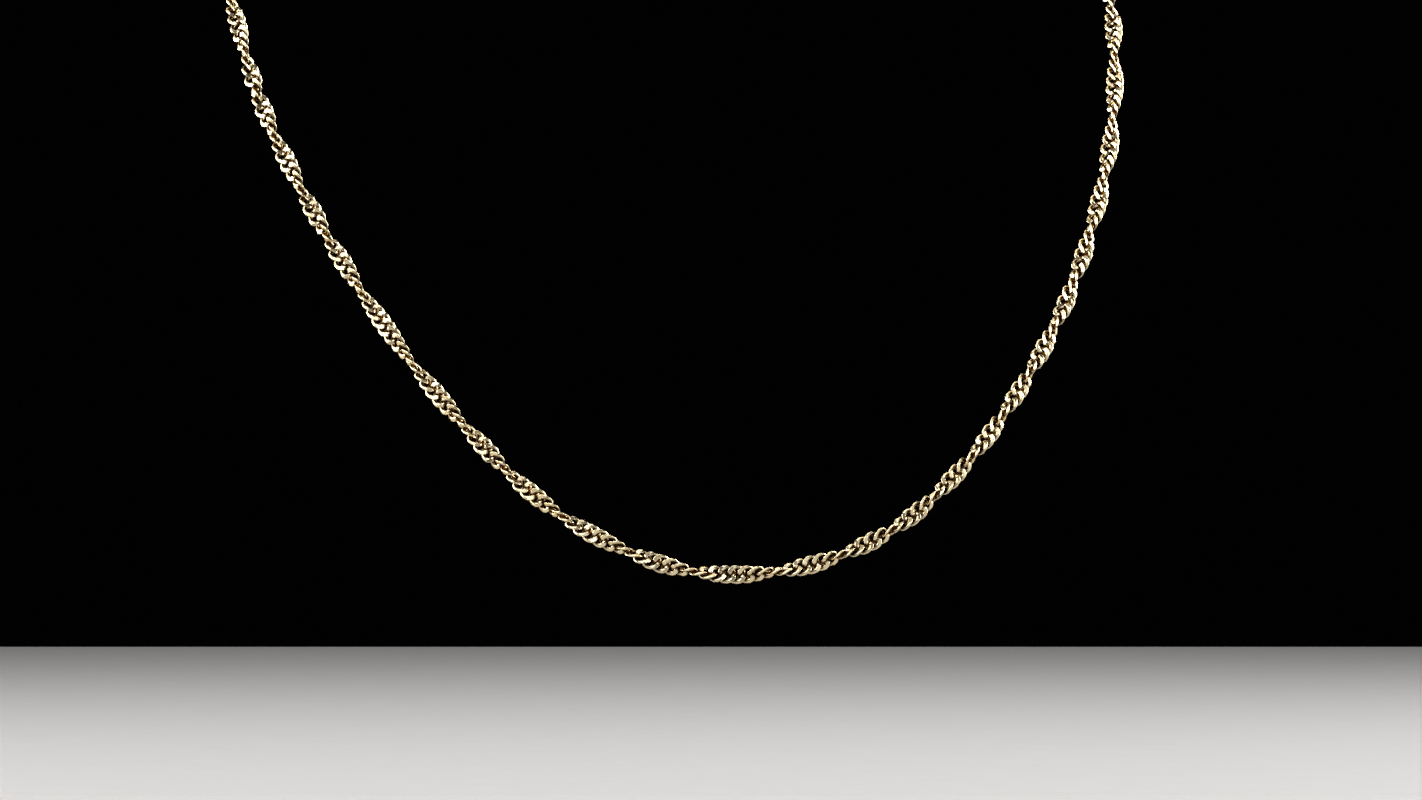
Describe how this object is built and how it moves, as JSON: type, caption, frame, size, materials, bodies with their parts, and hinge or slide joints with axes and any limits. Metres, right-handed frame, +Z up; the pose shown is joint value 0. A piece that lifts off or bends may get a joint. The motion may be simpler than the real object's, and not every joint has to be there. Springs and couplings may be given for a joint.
{
  "type": "singapore chain necklace",
  "caption": "Fine twisted curb chain necklace in pale yellow gold, worn as a closed loop round the neck and fastened at the nape by a small spring ring.",
  "frame": {"origin": "at the nape, on the line of the chain midway between its two ends, where the necklace rests on the back of the neck", "axes": "+Z up, the front of the necklace towards -Y, +X to the right as seen from the front"},
  "size_m": [0.1127, 0.0983, 0.1087],
  "materials": {
    "chain_gold": "bright polished pale yellow gold with flat-cut faces",
    "finding_gold": "polished yellow gold"
  },
  "bodies": {
    "root": {"chain": "chain_gold", "end_link_left": "chain_gold", "end_link_right": "chain_gold", "jump_ring_left": "finding_gold", "jump_ring_right": "finding_gold", "clasp": "finding_gold"}
  },
  "joints": []
}
